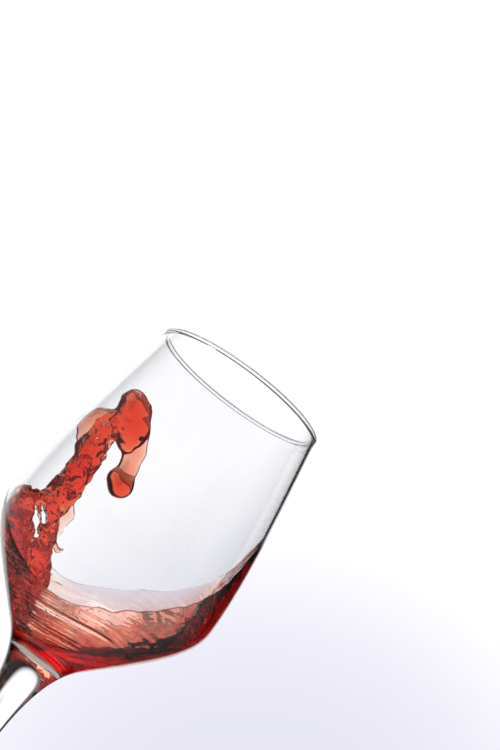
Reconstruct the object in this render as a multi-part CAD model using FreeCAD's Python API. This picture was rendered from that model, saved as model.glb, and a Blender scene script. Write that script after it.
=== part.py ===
import FreeCAD, Part

# A stemmed glass of red wine, with the wine caught in mid swirl.
#
# There are two pieces: the glass, in one piece from lip to foot, and the wine inside it. +Z points up
# along the glass's axis, and the origin is the centre of the foot's resting plane. The wine lies as it
# does in a glass that leans over, so its pool crosses the bowl at LEAN degrees to the horizontal. The
# swirl hollows the pool, sends it up one wall as a thick wave, and throws up a crest whose head curls
# over into a hanging tongue. Sizes are in millimetres and angles in degrees.

import math
import os

Vector = FreeCAD.Vector

# Glass
GLASS_HEIGHT = 235.0
LIP_RADIUS = 33.0  # inside the bowl, at the lip
LIP_WALL = 1.4
LIP_LEAN = 10.0  # the wall's lean from upright, just under the lip
BELLY_RADIUS = 43.7  # inside the bowl, at its widest
BELLY_WALL = 1.3
BELLY_RISE = 44.7  # above the bowl's floor
BOWL_DEPTH = 124.7  # inside the bowl, from lip to floor
FLOOR_ROUND = 20.5  # radius of the bowl's rounded floor
LOWER_WALL_LEAN = 45.0
LOWER_WALL = 1.5
STEM_TOP_RADIUS = 5.7
STEM_TOP_DROP = 33.0  # below the bowl's floor
STEM_WAIST_RADIUS = 3.9
STEM_WAIST_SHARE = 0.62  # the waist's height as a share of the stem top's height
FOOT_RADIUS = 38.0
FOOT_EDGE = 1.8  # thickness of the foot at its rim
FOOT_SLOPE = 5.0  # fall of the foot's top face at its rim
REST_RING = 5.0  # width of the flat ring that the foot rests on
FOOT_DISH = 2.6  # hollow under the foot, at its centre

# How long each outline curve keeps the direction of its ends, as a share of the distance it spans
UPPER_WALL_HOLD = (0.375, 0.275)
LOWER_WALL_HOLD = (0.247, 0.454)
FLARE_HOLD = (0.217, 0.51)
STEM_HOLD = (0.5, 0.5)
FOOT_HOLD = (0.6, 0.475)

# Pool: heights are above the level plane, along its own upright
LEAN = 39.0
LEAN_TOWARDS = 16.8  # compass direction in which the level plane climbs, from +X towards +Y
POOL_RISE = 25.0  # where the level plane crosses the glass's axis, above the bowl's floor
HOLLOW_FLOOR = -15.5
HOLLOW_SPREAD = 13.5  # radius of the hollow 1 mm above its floor
HOLLOW_OFFSET = 15.0  # uphill along the level plane, from the glass's axis to the hollow's centre
HOLLOW_DRIFT = 0.29  # how far uphill the hollow's centre moves for each mm of height
FILLET = 3.0  # softness of the corner between the hollow's floor and its sides
FILM = 2.0  # wine left on the wall round the hollow
FILM_TAPER = 5.0
WAVE_AT = 160.0  # compass direction of the thick wave up the wall, from the way the level plane climbs
WAVE_WIDTH = 38.0
WAVE_HEIGHT = 43.0
WAVE_THICKNESS = 11.0
RUN_AT = -21.0  # compass direction of the thin run of wine up the far wall
RUN_WIDTH = 30.0
RUN_HEIGHT = 22.0
RUN_THICKNESS = 1.0
PAST_WALL = 4.0  # how far the hollow reaches past the wall above the wine's edge

# Crest: each stretch passes through places given as (x, y, height above the bowl's floor, radius)
ARM = [
    (-17.4, -2.0, 22.4, 4.3),
    (-19.7, -2.0, 30.7, 3.0),
    (-23.8, -2.0, 38.0, 3.0),
    (-26.7, -1.5, 45.9, 4.0),
    (-27.7, -1.0, 53.9, 4.7),
    (-28.5, -0.5, 62.2, 5.0),
    (-29.4, 0.0, 71.3, 5.0),
    (-30.2, 0.5, 80.0, 4.9),
    (-28.9, 1.0, 87.2, 4.3),
]
HEAD = [(-21.8, 1.0, 83.7, 4.4), (-23.9, 1.0, 89.0, 6.1), (-27.0, 0.5, 94.2, 5.7), (-29.0, 0.5, 96.9, 3.8)]
TONGUE = [(-19.6, 1.0, 88.0, 4.0), (-16.7, 1.0, 81.3, 4.4), (-14.1, 0.5, 74.8, 4.0), (-12.8, 0.0, 68.3, 4.5)]
BACK_LOBE = [(-30.0, 2.0, 86.1, 3.4), (-34.3, 4.5, 83.3, 3.1), (-35.5, 6.0, 78.0, 2.3)]
BRIDGE = [(-38.0, -1.0, 42.4, 3.0), (-34.9, -1.0, 46.6, 2.3), (-29.4, -1.0, 49.7, 3.0)]
FRINGE = [(-25.5, -2.5, 52.2, 1.4), (-21.4, -3.0, 46.6, 1.3), (-19.9, -3.5, 40.2, 1.1), (-20.0, -3.0, 32.2, 1.2)]

# How finely the free-form surfaces are drawn
RINGS = 22
RING_POINTS = 60
RING_CROWDING = 1.7  # above 1, the rings lie closer together near the hollow's floor
WALL_SAMPLES = 60
TIP_RINGS = 3

FLOOR = GLASS_HEIGHT - BOWL_DEPTH
DOWN = Vector(0, 0, -1)


def leaning(angle):
    """The downward direction that leans outward by an angle, in the section plane."""
    return Vector(math.sin(math.radians(angle)), 0, -math.cos(math.radians(angle)))


def smooth(start, leave, hold, arrive, end):
    """A curve that leaves start and arrives at end in the directions given."""
    span = (end - start).Length
    curve = Part.BezierCurve()
    curve.setPoles([start, start + leave * (hold[0] * span), end - arrive * (hold[1] * span), end])
    return curve


def section_points():
    """The named points of the glass's section, with x as the radius."""
    lean = math.radians(LOWER_WALL_LEAN)
    outward = Vector(math.cos(lean), 0, -math.sin(lean))
    lip = Vector(LIP_RADIUS, 0, GLASS_HEIGHT - LIP_WALL / 2)
    belly = Vector(BELLY_RADIUS, 0, FLOOR + BELLY_RISE)
    turn = Vector(0, 0, FLOOR + FLOOR_ROUND) + outward * FLOOR_ROUND
    stem_top = FLOOR - STEM_TOP_DROP
    return {
        "floor": Vector(0, 0, FLOOR),
        "lip": lip,
        "lip_out": lip + Vector(LIP_WALL, 0, 0),
        "belly": belly,
        "belly_out": belly + Vector(BELLY_WALL, 0, 0),
        "turn": turn,
        "turn_out": turn + outward * LOWER_WALL,
        "stem_top": Vector(STEM_TOP_RADIUS, 0, stem_top),
        "waist": Vector(STEM_WAIST_RADIUS, 0, stem_top * STEM_WAIST_SHARE),
    }


def wall(lip, belly, turn):
    """One side of the bowl's wall, from the lip down to where its floor begins."""
    return [
        smooth(lip, leaning(LIP_LEAN), UPPER_WALL_HOLD, DOWN, belly),
        smooth(belly, DOWN, LOWER_WALL_HOLD, leaning(-LOWER_WALL_LEAN), turn),
    ]


def bowl_inside():
    """The inside of the bowl, from the lip to the middle of its floor."""
    p = section_points()
    middle = math.radians(LOWER_WALL_LEAN / 2 + 45)
    on_round = Vector(math.cos(middle), 0, 1 - math.sin(middle)) * FLOOR_ROUND + p["floor"]
    return wall(p["lip"], p["belly"], p["turn"]) + [Part.Arc(p["turn"], on_round, p["floor"])]


def revolve(curves):
    outline = Part.Wire(Part.sortEdges([c.toShape() for c in curves])[0])
    return Part.Face(outline).revolve(Vector(0, 0, 0), Vector(0, 0, 1), 360)


def glass():
    """Bowl, stem and foot in one piece."""
    p = section_points()
    lip_top = Vector(LIP_RADIUS + LIP_WALL / 2, 0, GLASS_HEIGHT)
    half_edge = FOOT_EDGE / 2
    edge_top = Vector(FOOT_RADIUS - half_edge, 0, FOOT_EDGE)
    edge_out = Vector(FOOT_RADIUS, 0, half_edge)
    edge_low = Vector(FOOT_RADIUS - half_edge, 0, 0)
    ring_in = edge_low - Vector(REST_RING, 0, 0)
    dish_side = Vector(ring_in.x / 2, 0, 0.75 * FOOT_DISH)
    dish = Vector(0, 0, FOOT_DISH)
    slope = leaning(90 - FOOT_SLOPE)
    curves = bowl_inside()
    curves.append(Part.Arc(p["lip"], lip_top, p["lip_out"]))
    curves += wall(p["lip_out"], p["belly_out"], p["turn_out"])
    curves.append(smooth(p["turn_out"], leaning(-LOWER_WALL_LEAN), FLARE_HOLD, DOWN, p["stem_top"]))
    curves.append(smooth(p["stem_top"], DOWN, STEM_HOLD, DOWN, p["waist"]))
    curves.append(smooth(p["waist"], DOWN, FOOT_HOLD, slope, edge_top))
    curves.append(Part.Arc(edge_top, edge_out, edge_low))
    curves.append(Part.LineSegment(edge_low, ring_in))
    curves.append(Part.Arc(ring_in, dish_side, dish))
    curves.append(Part.LineSegment(dish, p["floor"]))
    return revolve(curves)


def bowl_space():
    """What the bowl could hold, up to its lip."""
    p = section_points()
    centre = Vector(0, 0, p["lip"].z)
    return revolve(bowl_inside() + [Part.LineSegment(p["lip"], centre), Part.LineSegment(centre, p["floor"])])


def wall_samples():
    """(height, radius) at places up the inside of the bowl, lowest first."""
    found = []
    for curve in bowl_inside():
        first, last = curve.FirstParameter, curve.LastParameter
        for i in range(WALL_SAMPLES):
            p = curve.value(first + (last - first) * i / (WALL_SAMPLES - 1))
            found.append((p.z, p.x))
    return sorted(found)


def wall_radius(height, samples):
    if height <= samples[0][0]:
        return 0.0
    for (low, r_low), (high, r_high) in zip(samples, samples[1:]):
        if height <= high:
            return r_low + (r_high - r_low) * (height - low) / max(high - low, 1e-9)
    return samples[-1][1]


def level_frame():
    """The level plane: where it crosses the axis, its uphill and across directions, and its upright."""
    lean, towards = math.radians(LEAN), math.radians(LEAN_TOWARDS)
    level = Vector(math.cos(towards), math.sin(towards), 0)
    uphill = level * math.cos(lean) + Vector(0, 0, math.sin(lean))
    across = Vector(-level.y, level.x, 0)
    return Vector(0, 0, FLOOR + POOL_RISE), uphill, across, uphill.cross(across)


def hump(angle, centre, width):
    """1 in one compass direction, falling smoothly to nearly nothing over a width to each side."""
    return math.exp(-(1 - math.cos(math.radians(angle - centre))) / (1 - math.cos(math.radians(width))))


def wine_on_wall(angle, height):
    """How thick the wine lies on the wall in one direction, at a height over the level plane."""
    wave, run = hump(angle, WAVE_AT, WAVE_WIDTH), hump(angle, RUN_AT, RUN_WIDTH)
    top = WAVE_HEIGHT * wave + RUN_HEIGHT * run
    thickness = FILM + WAVE_THICKNESS * wave + RUN_THICKNESS * run
    share = (height - HOLLOW_FLOOR) / (top - HOLLOW_FLOOR)
    return max(thickness * (1 - share**FILM_TAPER), -PAST_WALL)


def wall_distance(start, direction, samples):
    """How far the inside of the bowl lies from a point in it, along one direction."""
    near, far = 0.0, 2 * BELLY_RADIUS + BOWL_DEPTH
    for _ in range(30):
        middle = (near + far) / 2
        p = start + direction * middle
        if p.z < GLASS_HEIGHT and math.hypot(p.x, p.y) < wall_radius(p.z, samples):
            near = middle
        else:
            far = middle
    return near


def hollow_ring(height, samples):
    """The hollow's outline at one height over the level plane."""
    origin, uphill, across, up = level_frame()
    centre = origin + uphill * (HOLLOW_OFFSET + HOLLOW_DRIFT * height) + up * height
    spread = HOLLOW_SPREAD * math.sqrt(height - HOLLOW_FLOOR)
    points = []
    for i in range(RING_POINTS):
        angle = 360 * i / RING_POINTS
        direction = uphill * math.cos(math.radians(angle)) + across * math.sin(math.radians(angle))
        side = wall_distance(centre, direction, samples) - wine_on_wall(angle, height)
        points.append(centre + direction * ((spread + side - math.hypot(spread - side, FILLET)) / 2))
    outline = Part.BSplineCurve()
    outline.interpolate(points, PeriodicFlag=True)
    return Part.Wire([outline.toShape()])


def hollow():
    """The air over the pool, reaching past the wall above the wine's edge."""
    samples = wall_samples()
    origin, uphill, _, up = level_frame()
    lowest = origin + uphill * (HOLLOW_OFFSET + HOLLOW_DRIFT * HOLLOW_FLOOR) + up * HOLLOW_FLOOR
    height = WAVE_HEIGHT + PAST_WALL - HOLLOW_FLOOR
    rings = [Part.Vertex(lowest)]
    for i in range(1, RINGS + 1):
        rings.append(hollow_ring(HOLLOW_FLOOR + height * (i / RINGS) ** RING_CROWDING, samples))
    return Part.makeLoft(rings, True, False)


def tip(place, radius, outward):
    """The shrinking rings that round off one end of a stretch."""
    turns = [math.pi / 2 * i / (TIP_RINGS + 0.25) for i in range(1, TIP_RINGS + 1)]
    return [(place + outward * (radius * math.sin(turn)), radius * math.cos(turn)) for turn in turns]


def stretch(chain):
    """One rounded stretch of the crest, through a chain of places and radii."""
    places = [(Vector(x, y, FLOOR + rise), radius) for x, y, rise, radius in chain]
    first = tip(*places[0], (places[0][0] - places[1][0]).normalize())
    last = tip(*places[-1], (places[-1][0] - places[-2][0]).normalize())
    places = first[::-1] + places + last
    rings = []
    for i, (centre, radius) in enumerate(places):
        before, after = places[max(i - 1, 0)][0], places[min(i + 1, len(places) - 1)][0]
        rings.append(Part.Wire([Part.Circle(centre, after - before, radius).toShape()]))
    return Part.makeLoft(rings, True, False)


def wine():
    """The pool with its wave, and the crest that rises from it."""
    space = bowl_space()
    pool = min(space.cut(hollow()).Solids, key=lambda s: s.BoundBox.ZMin)
    crest = [stretch(chain) for chain in (ARM, HEAD, TONGUE, BACK_LOBE, BRIDGE, FRINGE)]
    solids = pool.fuse(crest).common(space).Solids
    if len(solids) != 1:
        raise ValueError("the crest doesn't join the pool")
    return solids[0]


os.makedirs("parts", exist_ok=True)
glass().exportStep("parts/glass.step")
wine().exportStep("parts/wine.step")
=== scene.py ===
import math

import bpy
import numpy as np
from mathutils import Matrix, Vector


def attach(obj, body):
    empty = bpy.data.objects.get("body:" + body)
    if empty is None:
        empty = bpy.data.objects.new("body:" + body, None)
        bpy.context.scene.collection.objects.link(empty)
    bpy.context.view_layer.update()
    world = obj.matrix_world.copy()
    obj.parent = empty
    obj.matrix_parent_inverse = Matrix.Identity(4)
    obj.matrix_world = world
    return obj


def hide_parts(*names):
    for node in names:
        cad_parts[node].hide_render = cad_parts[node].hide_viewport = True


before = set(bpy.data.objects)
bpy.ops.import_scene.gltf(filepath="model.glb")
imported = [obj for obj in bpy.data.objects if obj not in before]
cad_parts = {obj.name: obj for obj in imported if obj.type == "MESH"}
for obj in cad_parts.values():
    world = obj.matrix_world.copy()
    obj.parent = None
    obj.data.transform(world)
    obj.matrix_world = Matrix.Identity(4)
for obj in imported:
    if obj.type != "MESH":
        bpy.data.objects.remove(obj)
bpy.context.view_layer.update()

MM = 0.001

# Glass, in millimetres and degrees. All but LIP_BEAD are as in the CAD.
GLASS_HEIGHT = 235.0
LIP_RADIUS = 33.0
LIP_WALL = 1.4
LIP_LEAN = 10.0
LIP_BEAD = 0.95  # radius of the rounded edge, a little fuller than the wall
BELLY_RADIUS = 43.7
BELLY_WALL = 1.3
BELLY_RISE = 44.7
BOWL_DEPTH = 124.7
FLOOR_ROUND = 20.5
LOWER_WALL_LEAN = 45.0
LOWER_WALL = 1.5
STEM_TOP_RADIUS = 5.7
STEM_TOP_DROP = 33.0
STEM_WAIST_RADIUS = 3.9
STEM_WAIST_SHARE = 0.62
FOOT_RADIUS = 38.0
FOOT_EDGE = 1.8
FOOT_SLOPE = 5.0
REST_RING = 5.0
FOOT_DISH = 2.6
# How strongly each curve holds its direction at its start and its end, as shares of its span
UPPER_WALL_HOLD = (0.375, 0.275)
LOWER_WALL_HOLD = (0.247, 0.454)
FLARE_HOLD = (0.217, 0.51)
STEM_HOLD = (0.5, 0.5)
FOOT_HOLD = (0.6, 0.475)

FLOOR = GLASS_HEIGHT - BOWL_DEPTH  # height of the bowl's floor

# Pool: its level plane, and the hollow that the swirl leaves in it
LEAN = 39.0  # how far the wine's level plane leans from the glass's
LEAN_TOWARDS = 16.8
POOL_RISE = 25.0
HOLLOW_FLOOR = -17.4
HOLLOW_SPREAD = 13.5  # radius of the hollow 1 mm above its floor
HOLLOW_OFFSET = 15.0
HOLLOW_DRIFT = 0.29
FILLET = 3.0
FILLET_UNEVEN = 0.25
SWELL = 0.9  # height of the gentle waves on the hollow's floor
SWELL_LENGTH = 11.0

# Wine on the wall: a film all round, a wave on one side and a run on the other
FILM = 0.55
FILM_TAPER = 3.0  # power that thins the wine towards its edge
THINNEST = 0.3  # least wine in front of the wall, before it thins towards its edge
WAVE_AT = 160.0
WAVE_WIDTH = 38.0
WAVE_HEIGHT = 42.5
WAVE_THICKNESS = 2.2
RUN_AT = -21.0
RUN_WIDTH = 30.0
RUN_HEIGHT = 22.0
RUN_THICKNESS = 7.5
RUN_CALM = 0.85  # share of the streaks that is missing at the run
EDGE_SLOW = 1.6  # how far the wine's edge wanders in long and in short waves
EDGE_FAST = 1.3
STREAK_DEPTH = 0.45  # share by which the streaks thicken and thin the wine
STREAK_RIDGE = 2.0  # height of the ridges on the strongest streaks
STREAKS_WIDTH = 100.0  # how far round from the wave the ridges stand out, in degrees
LUMP_HEIGHT = 2.4
LUMP_LENGTH = 9.0
LOW_THICKENING = 1.6  # extra wine at the bottom of the hollow's side
INTO_WALL = 0.25  # how far the wine reaches into the glass, so that no air shows between them

# Mesh counts of the pool
POOL_AROUND = 320
POOL_ROWS = 140
WALL_ROWS = 22
POOL_BUNCHING = 1.9  # power that crowds the rows near the hollow's floor

# Crest: listed chains, each through (x, y, height above the bowl's floor, radius)
ARM = [
    (-17.4, -2.0, 22.4, 4.3),
    (-21.4, -2.0, 30.7, 4.2),
    (-26.0, -2.0, 38.0, 4.4),
    (-28.8, -1.5, 46.4, 4.7),
    (-28.0, -1.0, 53.9, 5.1),
    (-28.6, -0.5, 62.2, 5.2),
    (-29.4, 0.0, 71.3, 4.9),
    (-30.2, 0.5, 80.0, 4.5),
    (-28.9, 1.0, 86.7, 3.9),
]
HEAD = [
    (-21.0, 1.0, 83.5, 5.0),
    (-23.4, 1.0, 88.6, 6.6),
    (-26.4, 0.5, 93.6, 6.3),
    (-28.2, 0.5, 96.2, 4.8),
]
TONGUE = [  # hangs from the head
    (-19.4, 1.0, 88.0, 3.8),
    (-16.9, 1.0, 81.3, 4.3),
    (-15.0, 0.5, 75.3, 3.6),
    (-13.6, 0.0, 68.4, 4.2),
]
BULB = [(-16.6, 0.0, 69.2, 3.0), (-13.4, 0.0, 67.8, 4.2)]  # the tongue's tip
BACK_LOBE = [
    (-30.5, 2.0, 86.4, 3.5),
    (-34.6, 3.5, 84.6, 3.4),
    (-37.0, 4.5, 81.2, 3.0),
    (-37.0, 5.0, 77.4, 2.6),
    (-35.6, 5.0, 74.4, 2.1),
]
BRIDGE = [(-37.6, -1.0, 41.0, 4.4), (-34.2, -1.0, 44.6, 3.8), (-29.4, -1.0, 48.7, 3.6)]
SHEET = [(-25.0, -1.0, 51.5, 2.6), (-23.3, -1.0, 47.0, 3.8), (-21.3, -1.0, 40.2, 2.4)]  # beside the arm
MASS = [  # climbs the wall under the arm
    (-39.2, 0.0, 44.6, 3.8),
    (-37.0, 0.0, 38.0, 6.0),
    (-32.5, 0.0, 29.5, 7.0),
    (-26.0, 0.0, 21.5, 7.0),
    (-17.0, 0.0, 14.5, 6.0),
]
SLITS = [  # cut out between the mass and the arm, right through
    [(-33.2, -2.0, 43.4, 0.5), (-30.2, -2.0, 39.6, 1.1), (-26.6, -2.0, 35.0, 0.8), (-24.6, -2.0, 32.4, 0.4)],
    [(-31.6, -2.0, 45.0, 0.4), (-29.0, -2.0, 42.6, 0.8), (-27.0, -2.0, 39.8, 0.4)],
]
SPRAY = [(-20.5, -2.0, 36.5, 1.4), (-17.2, -2.0, 34.9, 0.8), (-15.8, -2.0, 36.2, 0.5)]

# How much thinner than round each chain is along y, front to back. Below 1 it is deeper.
ARM_FLAT = 0.9
MASS_FLAT = 1.2
HEAD_FLAT = 1.3
LOBE_FLAT = 2.0
SHEET_FLAT = 5.0
SLIT_FLAT = 0.02
TONGUE_FLAT = (1.1, 2.2, 3.2)  # at the heights below: thinnest where it leaves the head
TONGUE_FLAT_AT = (64, 76, 86)

# How widely the parts of the crest flow together
CHAIN_BLEND = 1.2
BRIDGE_BLEND = 1.5
MASS_BLEND = 0.6
BULB_BLEND = 3.0
THIN_BLEND = 0.8
SPRAY_BLEND = 0.5

# Wrinkles and folds of the crest: depths and lengths, and how far the folded skin is moved back
WARP = 0.9
WARP_LENGTH = 7.0
ARM_WRINKLE = 0.55
ARM_WRINKLE_LENGTH = 3.6
ARM_FOLD = 1.4
ARM_FOLD_LENGTHS = (4.5, 4.5, 6.5)
ARM_FOLD_BACK = 0.6
HEAD_FOLD = 0.8
HEAD_FOLD_LENGTHS = (8.0, 8.0, 4.5)
HEAD_FOLD_BACK = 0.35
LOBE_WRINKLE = 0.3
LOBE_WRINKLE_LENGTH = 4.5
SLIT_MARGIN = 0.3

CREST_WALL_GAP = 0.6  # the crest stays this far inside the wine's outer skin
CREST_REACH = ((-44.5, -14.0, FLOOR + 6.0), (-4.0, 14.0, FLOOR + 105.0))  # the box it is sampled in
CREST_STEP = 0.43
CREST_CLOSE = 3.5  # only samples this close to a plain chain get the folds and wrinkles

# Surroundings: colours, where each patch is, and the degrees from its middle where it fades
BACKDROP_WHITE = (1.14, 1.14, 1.15)
BACKDROP_SHADE = (0.80, 0.79, 0.90)
BACKDROP_TOWARDS = (-0.28, 1.02, 0.02)
BACKDROP_REACH = (30, 40)
LOW_FLAG_TOWARDS = (-0.55, 0.55, -0.6)
LOW_FLAG_REACH = (22, 36)
SHADE_TOWARDS = (0.128, 1.013, 0.063)
SHADE_REACH = (2.5, 10.5)
FLAGS = (0.02, 0.02, 0.022)
FLAGS_REACH = (60, 90)
ROOM_SIDE = (0.30, 0.30, 0.31)
ROOM_FRONT = (0.03, 0.03, 0.031)
ROOM_FRONT_TOWARDS = (0, -1, 0)
ROOM_FRONT_REACH = (20, 80)
OVERHEAD = (0.25, 0.25, 0.26)
OVERHEAD_TOWARDS = (-0.6, 0.1, 0.8)
OVERHEAD_REACH = (20, 50)

# Floor, key light and camera, in metres, watts and radians
FLOOR_HALF = 3.0
KEY_PLACE = (-0.5, 0.1, 1.4)
KEY_SIZE = 0.9
KEY_POWER = 10
CAMERA_PLACE = (0, -0.9, 0.02936)
CAMERA_PITCH = 0.2304
CAMERA_ROLL = 0.6471
SENSOR = 36  # mm
LENS = 120.07536  # mm
LIGHT_BOUNCES = 24


# ---------------------------------------------------------------- shapes

DOWN = np.array([0.0, -1.0])


def leaning(angle):
    """The downward direction that leans outward by an angle, as (radius, height)."""
    return np.array([math.sin(math.radians(angle)), -math.cos(math.radians(angle))])


def smooth(start, leave, hold, arrive, end, count):
    """Points on a curve that leaves start and arrives at end in the directions given."""
    start, end = np.array(start, float), np.array(end, float)
    span = np.linalg.norm(end - start)
    a, b = start + leave * hold[0] * span, end - arrive * hold[1] * span
    t = np.linspace(0, 1, count)[:, None]
    return (1 - t) ** 3 * start + 3 * t * (1 - t) ** 2 * a + 3 * t**2 * (1 - t) * b + t**3 * end


def arc(centre, radius, first, last, count):
    """Points on an arc in the section plane, with angles from the outward direction."""
    a = np.radians(np.linspace(first, last, count))
    return np.array(centre) + radius * np.stack([np.cos(a), np.sin(a)], 1)


def bowl_side(lip, belly, turn, count):
    """One side of the bowl's wall, as its upper and its lower curve."""
    upper = smooth(lip, leaning(LIP_LEAN), UPPER_WALL_HOLD, DOWN, belly, count)
    lower = smooth(belly, DOWN, LOWER_WALL_HOLD, leaning(-LOWER_WALL_LEAN), turn, count)
    return [upper, lower[1:]]


def section_points():
    """Where the bowl's inside has its lip and belly and meets its round floor, and the way out there."""
    lean = math.radians(LOWER_WALL_LEAN)
    outward = np.array([math.cos(lean), -math.sin(lean)])
    lip = np.array([LIP_RADIUS, GLASS_HEIGHT - LIP_WALL / 2])
    belly = np.array([BELLY_RADIUS, FLOOR + BELLY_RISE])
    turn = np.array([0, FLOOR + FLOOR_ROUND]) + outward * FLOOR_ROUND
    return lip, belly, turn, outward


def bowl_inside(count):
    """The inside of the bowl, from the middle of its floor to the lip."""
    lip, belly, turn, _ = section_points()
    floor = arc((0, FLOOR + FLOOR_ROUND), FLOOR_ROUND, -LOWER_WALL_LEAN, -90, count // 3)
    return np.concatenate(bowl_side(lip, belly, turn, count) + [floor[1:]])[::-1]


def glass_section(side=52, rim_points=17, flare_points=34, stem_points=14, foot_points=44, edge_points=9):
    """The whole outline of the glass, from the middle of the bowl's floor round to under the foot."""
    _, belly, turn, outward = section_points()
    rim_centre = (LIP_RADIUS + LIP_WALL / 2, GLASS_HEIGHT - LIP_BEAD)
    rim = arc(rim_centre, LIP_BEAD, 235, -30, rim_points)
    bowl = bowl_inside(side)
    bowl = bowl[bowl[:, 1] < rim[0, 1]]
    belly_out = belly + np.array([BELLY_WALL, 0])
    upper, lower = bowl_side(rim[-1], belly_out, turn + outward * LOWER_WALL, side)
    stem_top = np.array([STEM_TOP_RADIUS, FLOOR - STEM_TOP_DROP])
    waist = np.array([STEM_WAIST_RADIUS, stem_top[1] * STEM_WAIST_SHARE])
    half = FOOT_EDGE / 2
    edge = arc((FOOT_RADIUS - half, half), half, 90, -90, edge_points)
    flare = smooth(lower[-1], leaning(-LOWER_WALL_LEAN), FLARE_HOLD, DOWN, stem_top, flare_points)
    stem = smooth(stem_top, DOWN, STEM_HOLD, DOWN, waist, stem_points)
    foot = smooth(waist, DOWN, FOOT_HOLD, leaning(90 - FOOT_SLOPE), edge[0], foot_points)
    parts = [bowl, rim, upper[1:], lower, flare[1:], stem[1:], foot[1:], edge[1:], foot_dish(half)]
    return np.concatenate(parts)


def foot_dish(half, count=14):
    """The shallow hollow under the foot, inside the ring that it rests on."""
    ring_in = FOOT_RADIUS - half - REST_RING
    bend = (ring_in**2 + FOOT_DISH**2) / (2 * FOOT_DISH)
    sweep = math.degrees(math.asin(ring_in / bend))
    return arc((0, FOOT_DISH - bend), bend, 90 - sweep, 90, count)


def mesh_object(name, points, faces, material):
    """A smooth-shaded object from points in millimetres."""
    mesh = bpy.data.meshes.new(name)
    mesh.from_pydata((np.asarray(points) * MM).tolist(), [], faces)
    mesh.update()
    mesh.polygons.foreach_set("use_smooth", np.ones(len(mesh.polygons), bool))
    mesh.materials.append(material)
    piece = bpy.data.objects.new(name, mesh)
    bpy.context.collection.objects.link(piece)
    return piece


def capped(rings, first, last):
    """A closed skin over rings of points, drawn together to one point at each end."""
    rows, around = rings.shape[:2]
    points = np.concatenate([rings.reshape(-1, 3), [first, last]])
    r, c = np.meshgrid(np.arange(rows - 1), np.arange(around), indexing="ij")
    n = (c + 1) % around
    quads = np.stack([r * around + c, (r + 1) * around + c, (r + 1) * around + n, r * around + n], -1)
    faces = quads.reshape(-1, 4).tolist()
    first_index, last_index = rows * around, rows * around + 1
    end = (rows - 1) * around
    for i in range(around):
        j = (i + 1) % around
        faces.append((first_index, i, j))
        faces.append((last_index, end + j, end + i))
    return points, faces


def revolved(name, section, around, material):
    """A closed solid of revolution whose section starts and ends on the axis."""
    radius, height = section[1:-1, :1], section[1:-1, 1:]
    turn = np.linspace(0, 2 * math.pi, around, endpoint=False)
    rings = np.stack([radius * np.cos(turn), radius * np.sin(turn), np.repeat(height, around, 1)], -1)
    points, faces = capped(rings, (0, 0, section[0][1]), (0, 0, section[-1][1]))
    return mesh_object(name, points, faces, material)


# ---------------------------------------------------------------- noise


class Noise:
    """Smooth noise in space, about -1 to 1, the same on every run."""

    def __init__(self, seed, size=32):
        self.size = size
        self.values = np.random.default_rng(seed).uniform(-1, 1, (size, size, size))

    def __call__(self, points):
        points = np.asarray(points, float)
        base = np.floor(points).astype(int)
        f = points - base
        f = f * f * f * (f * (f * 6 - 15) + 10)
        total = 0.0
        for corner in np.ndindex(2, 2, 2):
            x, y, z = ((base[..., n] + corner[n]) % self.size for n in range(3))
            wx, wy, wz = (f[..., n] if corner[n] else 1 - f[..., n] for n in range(3))
            total = total + wx * wy * wz * self.values[x, y, z]
        return total


def layered(noise, points, layers=3, fade=0.5):
    """Noise in layers, each half as long as the one before and weaker by fade."""
    return sum(noise(points * 2.0**i + 7.3 * i) * fade**i for i in range(layers))


# ---------------------------------------------------------------- pool

WALL_LINE = bowl_inside(200)


def wall_radius(height):
    """Radius of the wine's outer skin at a height, a little inside the wall of the glass."""
    return np.where(height < FLOOR, 0.0, np.interp(height, WALL_LINE[:, 1], WALL_LINE[:, 0])) + INTO_WALL


def level_frame():
    """The middle of the wine's level plane, its uphill and across directions, and the way up from it."""
    lean, towards = math.radians(LEAN), math.radians(LEAN_TOWARDS)
    level = np.array([math.cos(towards), math.sin(towards), 0])
    uphill = level * math.cos(lean) + np.array([0, 0, math.sin(lean)])
    across = np.array([-level[1], level[0], 0])
    return np.array([0, 0, FLOOR + POOL_RISE]), uphill, across, np.cross(uphill, across)


def hump(angle, centre, width):
    """1 at an angle round the bowl, falling to 0 away from it."""
    return np.exp(-(1 - np.cos(np.radians(angle - centre))) / (1 - math.cos(math.radians(width))))


def wall_distance(start, direction, farthest=250.0, halvings=26):
    """How far the wine's outer skin is from points inside it, found by halving."""
    near, far = np.zeros(start.shape[:-1]), np.full(start.shape[:-1], farthest)
    for _ in range(halvings):
        middle = (near + far) / 2
        p = start + direction * middle[..., None]
        within = np.hypot(p[..., 0], p[..., 1]) < wall_radius(p[..., 2])
        near, far = np.where(within, middle, near), np.where(within, far, middle)
    return near


def hollow_centre(height):
    """The middle of the hollow at a height above the level plane."""
    origin, uphill, _, up = level_frame()
    offset = np.asarray(HOLLOW_OFFSET + HOLLOW_DRIFT * height)
    return origin + offset[..., None] * uphill + np.asarray(height)[..., None] * up


def wine_edge(angle, wave, run, ripple):
    """Height of the wine's edge above the level plane all round, with a wandering line."""
    a = np.radians(angle)
    ring = np.stack([np.cos(a), np.sin(a), 0 * a], 1)
    slow = EDGE_SLOW * layered(ripple, ring * 3.0) * (0.5 + wave)
    fast = EDGE_FAST * layered(ripple, ring * 9.0 + 4) * (0.3 + run)
    return WAVE_HEIGHT * wave + RUN_HEIGHT * run + slow + fast


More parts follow.
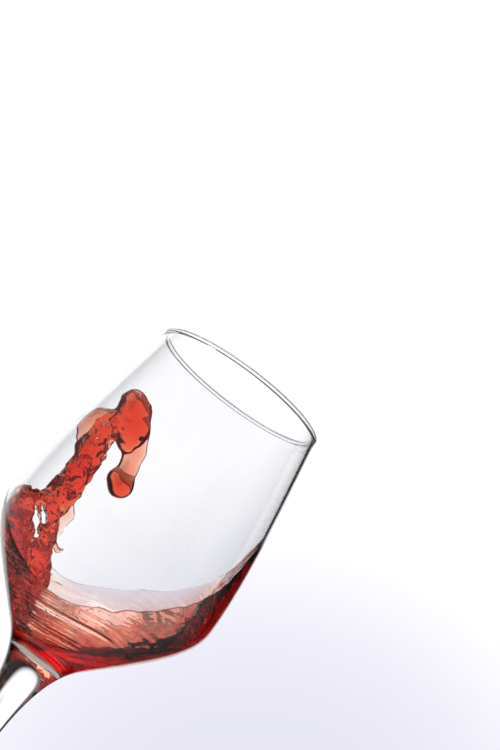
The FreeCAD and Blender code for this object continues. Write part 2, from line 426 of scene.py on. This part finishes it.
def swirl_streaks(angle, height, ripple):
    """Streaks that run with the swirl: down from the wave on both sides, round the bowl."""
    turn = (angle[None, :] - WAVE_AT + 180) % 360 - 180
    along = np.radians(np.abs(turn))
    side = np.broadcast_to(np.sign(turn) * 9.0, height.shape)
    lines = np.stack([height * 0.8 + 13.0 * along, along * 0.9 + 0 * height, side], -1)
    return layered(ripple, lines, 3, 0.6)


def wine_thickness(angle, share, wave, run, streak, lumps):
    """Thickness of the wine on the wall, where share goes from the hollow's floor (0) to the edge (1)."""
    calm = 1 - RUN_CALM * hump(angle, RUN_AT, 2 * RUN_WIDTH)
    thick = FILM + WAVE_THICKNESS * wave + RUN_THICKNESS * run
    thick = thick * (1 + STREAK_DEPTH * streak * calm) + LUMP_HEIGHT * lumps * wave
    thick = thick + LOW_THICKENING * np.clip(1 - 1.5 * share, 0, 1)
    ridges = STREAK_RIDGE * calm * (0.25 + 0.75 * hump(angle, WAVE_AT, STREAKS_WIDTH))
    thick = thick + ridges * np.clip(streak, 0, 1) ** 1.5 * np.clip(2.2 - 2.4 * share, 0, 1)
    return np.maximum(thick, INTO_WALL + THINNEST) * (1 - share**FILM_TAPER)


def free_surface(angle, rows):
    """The wine's open surface, as rings from the hollow's floor out to the edge on the wall."""
    _, uphill, across, up = level_frame()
    ripple, lump = Noise(3), Noise(8)
    wave, run = hump(angle, WAVE_AT, WAVE_WIDTH), hump(angle, RUN_AT, RUN_WIDTH)
    t = np.linspace(0, 1, rows)[1:]
    share = t[:, None] ** POOL_BUNCHING
    height = HOLLOW_FLOOR + (wine_edge(angle, wave, run, ripple) - HOLLOW_FLOOR) * share
    centre = hollow_centre(height)
    a = np.radians(angle)[:, None]
    direction = np.broadcast_to(np.cos(a) * uphill + np.sin(a) * across, centre.shape)
    wall = wall_distance(centre, direction)
    lumps = layered(lump, (centre + direction * (wall * 0.9)[..., None]) / LUMP_LENGTH, 3, 0.55)
    streak = swirl_streaks(angle, height, ripple)
    side = wall - wine_thickness(angle, share, wave, run, streak, lumps)
    spread = HOLLOW_SPREAD * np.sqrt(height - HOLLOW_FLOOR)
    reach = (spread + side - np.hypot(spread - side, FILLET * (1 + FILLET_UNEVEN * lumps))) / 2
    reach = np.where(share > 0.999, wall, np.minimum(reach, wall - 0.02))
    free = centre + direction * reach[..., None]
    swell = np.clip(1 - share * 2.0, 0, 1) * SWELL * layered(ripple, free / SWELL_LENGTH, 3)
    swell = swell * t[:, None].clip(0, 0.3) / 0.3
    return free + up * swell[..., None]


def skin_under(edge, rows):
    """Rings just inside the wall, from the wine's edge down to the middle of the bowl's floor."""
    around = np.unwrap(np.arctan2(edge[:, 1], edge[:, 0]))
    steps = np.concatenate([[0], np.cumsum(np.linalg.norm(np.diff(WALL_LINE, axis=0), axis=1))])
    slope = np.gradient(WALL_LINE, axis=0)
    slope /= np.linalg.norm(slope, axis=1)[:, None]
    s = np.linspace(0, 1, rows + 1)[1:-1]
    down = np.interp(edge[:, 2], WALL_LINE[:, 1], steps)[None, :] * (1 - s[:, None])
    radius = np.interp(down, steps, WALL_LINE[:, 0]) + INTO_WALL * np.interp(down, steps, slope[:, 1])
    height = np.interp(down, steps, WALL_LINE[:, 1]) - INTO_WALL * np.interp(down, steps, slope[:, 0])
    return np.stack([radius * np.cos(around), radius * np.sin(around), height], -1)


def pool(material):
    """The hollowed pool with its wave, run and films."""
    free = free_surface(np.linspace(0, 360, POOL_AROUND, endpoint=False), POOL_ROWS)
    rings = np.concatenate([free, skin_under(free[-1], WALL_ROWS)])
    points, faces = capped(rings, hollow_centre(HOLLOW_FLOOR), (0, 0, FLOOR - INTO_WALL))
    return mesh_object("wine", points, faces, material)


# ---------------------------------------------------------------- crest


def soft_min(a, b, k):
    """The smaller of two distances, blended where they differ by less than k."""
    h = np.clip(0.5 + 0.5 * (b - a) / k, 0, 1)
    return b * (1 - h) + a * h - k * h * (1 - h)


def chain_distance(points, chain, flat=1.0):
    """Distance from points to the skin of a chain of tapered stretches, thinned along y by flat."""
    scale = np.array((1.0, flat, 1.0))
    best = None
    for (x1, y1, z1, r1), (x2, y2, z2, r2) in zip(chain, chain[1:]):
        a, b = np.array([x1, y1, z1 + FLOOR]), np.array([x2, y2, z2 + FLOOR])
        ab = (b - a) * scale
        ap = (points - a) * scale
        t = np.clip((ap @ ab) / (ab @ ab), 0, 1)
        d = np.linalg.norm(ap - t[..., None] * ab, axis=-1) - (r1 + (r2 - r1) * t)
        best = d if best is None else soft_min(best, d, CHAIN_BLEND)
    return best


def arm_skin(grid, moved, wrinkle, bend):
    """Arm, bridge and mass in one, wrinkled and folded, with the slits cut out."""
    arm = chain_distance(moved, ARM, ARM_FLAT)
    arm = soft_min(arm, chain_distance(moved, BRIDGE), BRIDGE_BLEND)
    arm = soft_min(arm, chain_distance(moved, MASS, MASS_FLAT), MASS_BLEND)
    for slit in SLITS:
        arm = np.maximum(arm, SLIT_MARGIN - chain_distance(grid, slit, SLIT_FLAT))
    arm = arm + ARM_WRINKLE * layered(wrinkle, moved / ARM_WRINKLE_LENGTH, 3, 0.55)
    folds = np.abs(layered(bend, moved / np.array(ARM_FOLD_LENGTHS), 2, 0.5))
    return arm + ARM_FOLD * folds - ARM_FOLD_BACK


def head_skin(grid, moved, bend):
    folds = np.abs(layered(bend, moved / np.array(HEAD_FOLD_LENGTHS) + 5, 2, 0.4))
    return chain_distance(grid, HEAD, HEAD_FLAT) + HEAD_FOLD * folds - HEAD_FOLD_BACK


def tongue_skin(grid):
    """A thin sheet where it leaves the head, swelling into a bulb at its tip."""
    flatter = np.interp(grid[:, 2] - FLOOR, TONGUE_FLAT_AT, TONGUE_FLAT)
    thinned = np.stack([grid[:, 0], grid[:, 1] * flatter, grid[:, 2]], 1)
    return soft_min(chain_distance(thinned, TONGUE), chain_distance(grid, BULB), BULB_BLEND)


def lobe_skin(grid, moved, wrinkle):
    wrinkles = layered(wrinkle, moved / LOBE_WRINKLE_LENGTH, 2, 0.5)
    return chain_distance(grid, BACK_LOBE, LOBE_FLAT) + LOBE_WRINKLE * wrinkles


def crest_skin(grid):
    """Distance from points to the skin of the whole crest, kept inside the bowl."""
    wrinkle, bend = Noise(21), Noise(34)
    warp = np.stack([bend(grid / WARP_LENGTH + 11 * k) for k in range(3)], -1)
    moved = grid + WARP * warp
    arm = arm_skin(grid, moved, wrinkle, bend)
    skin = soft_min(head_skin(grid, moved, bend), tongue_skin(grid), CHAIN_BLEND)
    skin = soft_min(arm, skin, CHAIN_BLEND)
    sheet = chain_distance(moved, SHEET, SHEET_FLAT)
    thin = soft_min(lobe_skin(grid, moved, wrinkle), sheet, THIN_BLEND)
    skin = soft_min(skin, thin, THIN_BLEND)
    skin = soft_min(skin, chain_distance(grid, SPRAY), SPRAY_BLEND)
    past_wall = np.hypot(grid[..., 0], grid[..., 1]) - (wall_radius(grid[..., 2]) - CREST_WALL_GAP)
    return np.maximum(skin, past_wall)


def close_border(field, outside=0.5):
    """Makes the faces of a sampled box count as outside, so that its skin is closed."""
    for axis in range(3):
        face = [slice(None)] * 3
        for side in (0, -1):
            face[axis] = side
            field[tuple(face)] = np.maximum(field[tuple(face)], outside)


def cell_points(field, lowest, step):
    """One point in each cell that the zero surface crosses, and its index, with -1 in the other cells."""
    counts = np.zeros(tuple(n - 1 for n in field.shape), int)
    total = np.zeros(counts.shape + (3,))
    nx, ny, nz = counts.shape
    for i, j, k in np.ndindex(2, 2, 2):
        here = field[i : i + nx, j : j + ny, k : k + nz]
        for axis in range(3):
            start = (i, j, k)
            if start[axis]:
                continue
            x, y, z = (v + (n == axis) for n, v in enumerate(start))
            ahead = field[x : x + nx, y : y + ny, z : z + nz]
            cross = (here < 0) != (ahead < 0)
            t = np.where(cross, here / np.where(cross, here - ahead, 1), 0)
            counts += cross
            for n in range(3):
                total[..., n] += cross * (start[n] + (t if n == axis else 0))
    used = counts > 0
    index = np.full(counts.shape, -1)
    index[used] = np.arange(used.sum())
    return lowest + step * (np.argwhere(used) + total[used] / counts[used][:, None]), index


def surface_net(field, lowest, step):
    """A closed skin where a sampled field crosses 0, as points and quads."""
    points, index = cell_points(field, lowest, step)
    inner = field < 0
    quads = []
    for axis in range(3):
        eb, ec = np.eye(3, dtype=int)[(axis + 1) % 3], np.eye(3, dtype=int)[(axis + 2) % 3]
        shift = np.ones(3, int)
        shift[axis] = 0
        here, ahead = [slice(1, -1)] * 3, [slice(1, -1)] * 3
        here[axis], ahead[axis] = slice(0, -1), slice(1, None)
        first, second = inner[tuple(here)], inner[tuple(ahead)]
        for flip, found in ((False, first & ~second), (True, ~first & second)):
            at = np.argwhere(found) + shift
            ring = [at - eb - ec, at - ec, at, at - eb]
            quad = np.stack([index[tuple(r.T)] for r in ring], 1)
            quads.append(quad[:, ::-1] if flip else quad)
    return points, np.concatenate(quads)


def crest(material):
    """The splash over the pool: arm, head, tongue, rear lobe, bridge, mass, sheet and spray."""
    lowest, highest = np.array(CREST_REACH)
    axes = [np.arange(lo, hi, CREST_STEP) for lo, hi in zip(lowest, highest)]
    whole = np.stack(np.meshgrid(*axes, indexing="ij"), -1).astype(np.float32)
    field = chain_distance(whole, ARM + HEAD[1:3] + TONGUE)
    for chain in (BRIDGE, BACK_LOBE, BULB, SHEET, MASS, SPRAY):
        field = np.minimum(field, chain_distance(whole, chain))
    close = field < CREST_CLOSE
    field[close] = crest_skin(whole[close])
    close_border(field)
    points, quads = surface_net(field, lowest, CREST_STEP)
    return mesh_object("crest", points, quads.tolist(), material)


def join(body, other):
    """Body becomes the union of the two."""
    modifier = body.modifiers.new("union", "BOOLEAN")
    modifier.operation = "UNION"
    modifier.solver = "MANIFOLD"
    modifier.object = other
    graph = bpy.context.evaluated_depsgraph_get()
    mesh = bpy.data.meshes.new_from_object(body.evaluated_get(graph))
    body.modifiers.clear()
    body.data = mesh
    bpy.data.objects.remove(other)
    mesh.polygons.foreach_set("use_smooth", np.ones(len(mesh.polygons), bool))
    mesh.set_sharp_from_angle(angle=math.radians(60))  # the films' edges are knife edges
    return body


# ---------------------------------------------------------------- materials

NOISE_RANGE = (0.3, 0.7)  # the part of the noise texture's values that the ramps stretch out

GLASS_IOR = 1.5
GLASS_TINT = ((0.985, 0.99, 1.0), (1.0, 1.0, 1.0))
GLASS_COLOUR = (0.5, 0.52, 0.56)
GLASS_DENSITY = 4.0
WINE_IOR = 1.34
WINE_TINT = ((1.0, 0.93, 0.92), (1.0, 0.98, 0.97))
WINE_COLOUR = (0.95, 0.37, 0.12)
WINE_DENSITY = 480.0
FLOOR_TINT = ((0.8, 0.8, 0.82), (0.84, 0.84, 0.86))


def node_material(name):
    material = bpy.data.materials.new(name)
    material.use_nodes = True
    nodes, links = material.node_tree.nodes, material.node_tree.links
    return material, nodes, links, nodes["Principled BSDF"], nodes["Material Output"]


def noise_value(nodes, links, scale, detail=3.0):
    """Noise that stays put on the object, with scale in lumps a metre."""
    where = nodes.new("ShaderNodeTexCoord")
    noise = nodes.new("ShaderNodeTexNoise")
    noise.inputs["Scale"].default_value = scale
    noise.inputs["Detail"].default_value = detail
    links.new(where.outputs["Object"], noise.inputs["Vector"])
    return noise.outputs["Fac"]


def ramp(nodes, links, source, low, high):
    node = nodes.new("ShaderNodeMapRange")
    node.inputs["From Min"].default_value, node.inputs["From Max"].default_value = NOISE_RANGE
    node.inputs["To Min"].default_value = low
    node.inputs["To Max"].default_value = high
    links.new(source, node.inputs["Value"])
    return node.outputs["Result"]


def colour_ramp(nodes, links, source, low, high):
    node = nodes.new("ShaderNodeValToRGB")
    for element, position, colour in zip(node.color_ramp.elements, NOISE_RANGE, (low, high)):
        element.position = position
        element.color = (*colour, 1)
    links.new(source, node.inputs["Fac"])
    return node.outputs["Color"]


def bump(nodes, links, shader, height, strength, distance):
    node = nodes.new("ShaderNodeBump")
    node.inputs["Strength"].default_value = strength
    node.inputs["Distance"].default_value = distance
    links.new(height, node.inputs["Height"])
    links.new(node.outputs["Normal"], shader.inputs["Normal"])


def absorb(nodes, links, output, colour, density):
    """Colours light by how far it goes through the piece."""
    node = nodes.new("ShaderNodeVolumeAbsorption")
    node.inputs["Color"].default_value = (*colour, 1)
    node.inputs["Density"].default_value = density
    links.new(node.outputs["Volume"], output.inputs["Volume"])


def see_through(nodes, links, shader, ior, scale, tint, roughest):
    """A shader that lets light through, with a faintly uneven tint and polish."""
    shader.inputs["Transmission Weight"].default_value = 1.0
    shader.inputs["IOR"].default_value = ior
    noise = noise_value(nodes, links, scale)
    links.new(colour_ramp(nodes, links, noise, *tint), shader.inputs["Base Color"])
    links.new(ramp(nodes, links, noise, 0.0, roughest), shader.inputs["Roughness"])


def clear_glass():
    material, nodes, links, shader, output = node_material("clear_glass")
    see_through(nodes, links, shader, GLASS_IOR, 60.0, GLASS_TINT, 0.004)
    absorb(nodes, links, output, GLASS_COLOUR, GLASS_DENSITY)
    return material


def red_wine():
    material, nodes, links, shader, output = node_material("red_wine")
    see_through(nodes, links, shader, WINE_IOR, 140.0, WINE_TINT, 0.02)
    bump(nodes, links, shader, noise_value(nodes, links, 90.0, 2.0), 0.15, 0.0006)
    absorb(nodes, links, output, WINE_COLOUR, WINE_DENSITY)
    return material


def pale_floor():
    material, nodes, links, shader, _ = node_material("pale_floor")
    noise = noise_value(nodes, links, 12.0)
    links.new(colour_ramp(nodes, links, noise, *FLOOR_TINT), shader.inputs["Base Color"])
    shader.inputs["Roughness"].default_value = 0.6
    return material


# ---------------------------------------------------------------- floor, light and camera


def floor(half):
    corners = [(-half, -half, 0), (half, -half, 0), (half, half, 0), (-half, half, 0)]
    mesh = bpy.data.meshes.new("floor")
    mesh.from_pydata(corners, [], [(0, 1, 2, 3)])
    mesh.materials.append(pale_floor())
    piece = bpy.data.objects.new("floor", mesh)
    bpy.context.collection.objects.link(piece)
    piece.visible_glossy = False


def facing(nodes, links, where, towards, near, far):
    """1 for directions within near degrees of one direction, fading to 0 at far degrees."""
    dot = nodes.new("ShaderNodeVectorMath")
    dot.operation = "DOT_PRODUCT"
    dot.inputs[1].default_value = Vector(towards).normalized()
    links.new(where, dot.inputs[0])
    fade = nodes.new("ShaderNodeMapRange")
    fade.interpolation_type = "SMOOTHSTEP"
    fade.inputs["From Min"].default_value = math.cos(math.radians(far))
    fade.inputs["From Max"].default_value = math.cos(math.radians(near))
    links.new(dot.outputs["Value"], fade.inputs["Value"])
    return fade.outputs["Result"]


def mixed(nodes, links, factor, low, high):
    """One colour or the other, each a plain colour or a socket."""
    node = nodes.new("ShaderNodeMix")
    node.data_type = "RGBA"
    links.new(factor, node.inputs["Factor"])
    for socket, value in ((node.inputs[6], low), (node.inputs[7], high)):
        if isinstance(value, tuple):
            socket.default_value = (*value, 1)
        else:
            links.new(value, socket)
    return node.outputs[2]


def surroundings():
    """A white backdrop behind the glass, dark flags round it, a soft light overhead and a dim room."""
    world = bpy.data.worlds.new("studio")
    bpy.context.scene.world = world
    world.use_nodes = True
    nodes, links = world.node_tree.nodes, world.node_tree.links
    where = nodes.new("ShaderNodeTexCoord").outputs["Generated"]

    def patch(around, colour, towards, reach):
        """The colour inside a round patch of directions, and what is around it outside."""
        return mixed(nodes, links, facing(nodes, links, where, towards, *reach), around, colour)

    room = patch(ROOM_SIDE, ROOM_FRONT, ROOM_FRONT_TOWARDS, ROOM_FRONT_REACH)
    room = patch(room, FLAGS, BACKDROP_TOWARDS, FLAGS_REACH)
    room = patch(room, OVERHEAD, OVERHEAD_TOWARDS, OVERHEAD_REACH)
    backdrop = patch(BACKDROP_WHITE, BACKDROP_SHADE, SHADE_TOWARDS, SHADE_REACH)
    backdrop = patch(backdrop, room, LOW_FLAG_TOWARDS, LOW_FLAG_REACH)
    light = patch(room, backdrop, BACKDROP_TOWARDS, BACKDROP_REACH)
    links.new(light, nodes["Background"].inputs["Color"])


def softbox(name, place, aim, size, power):
    light = bpy.data.lights.new(name, "AREA")
    light.shape = "RECTANGLE"
    light.size, light.size_y = size
    light.energy = power
    piece = bpy.data.objects.new(name, light)
    piece.location = place
    piece.rotation_euler = (Vector(aim) - Vector(place)).to_track_quat("-Z", "Y").to_euler()
    bpy.context.collection.objects.link(piece)


def camera():
    """Low in front of the glass, rolled so that the glass leans in the picture as in the photograph."""
    forward = Vector((0, math.cos(CAMERA_PITCH), math.sin(CAMERA_PITCH)))
    right = Vector((1, 0, 0))
    up = right.cross(forward)
    x = right * math.cos(CAMERA_ROLL) + up * math.sin(CAMERA_ROLL)
    y = -right * math.sin(CAMERA_ROLL) + up * math.cos(CAMERA_ROLL)
    data = bpy.data.cameras.new("camera")
    data.sensor_width = SENSOR
    data.lens = LENS
    piece = bpy.data.objects.new("camera", data)
    turned = Matrix((x, y, -forward)).transposed().to_4x4()
    piece.matrix_world = Matrix.Translation(CAMERA_PLACE) @ turned
    bpy.context.collection.objects.link(piece)
    bpy.context.scene.camera = piece


# ---------------------------------------------------------------- the object and its setting

glass = revolved("glass_shell", glass_section(), 192, clear_glass())
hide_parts("glass")
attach(glass, "root")

wine_material = red_wine()
wine = join(pool(wine_material), crest(wine_material))
wine.name = "wine_swirl"
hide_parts("wine")
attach(wine, "root")

floor(FLOOR_HALF)
surroundings()
softbox("key", KEY_PLACE, (0, 0, 0), (KEY_SIZE, KEY_SIZE), KEY_POWER)
camera()
scene = bpy.context.scene
scene.view_settings.view_transform = "Standard"
scene.cycles.max_bounces = LIGHT_BOUNCES
scene.cycles.transmission_bounces = LIGHT_BOUNCES
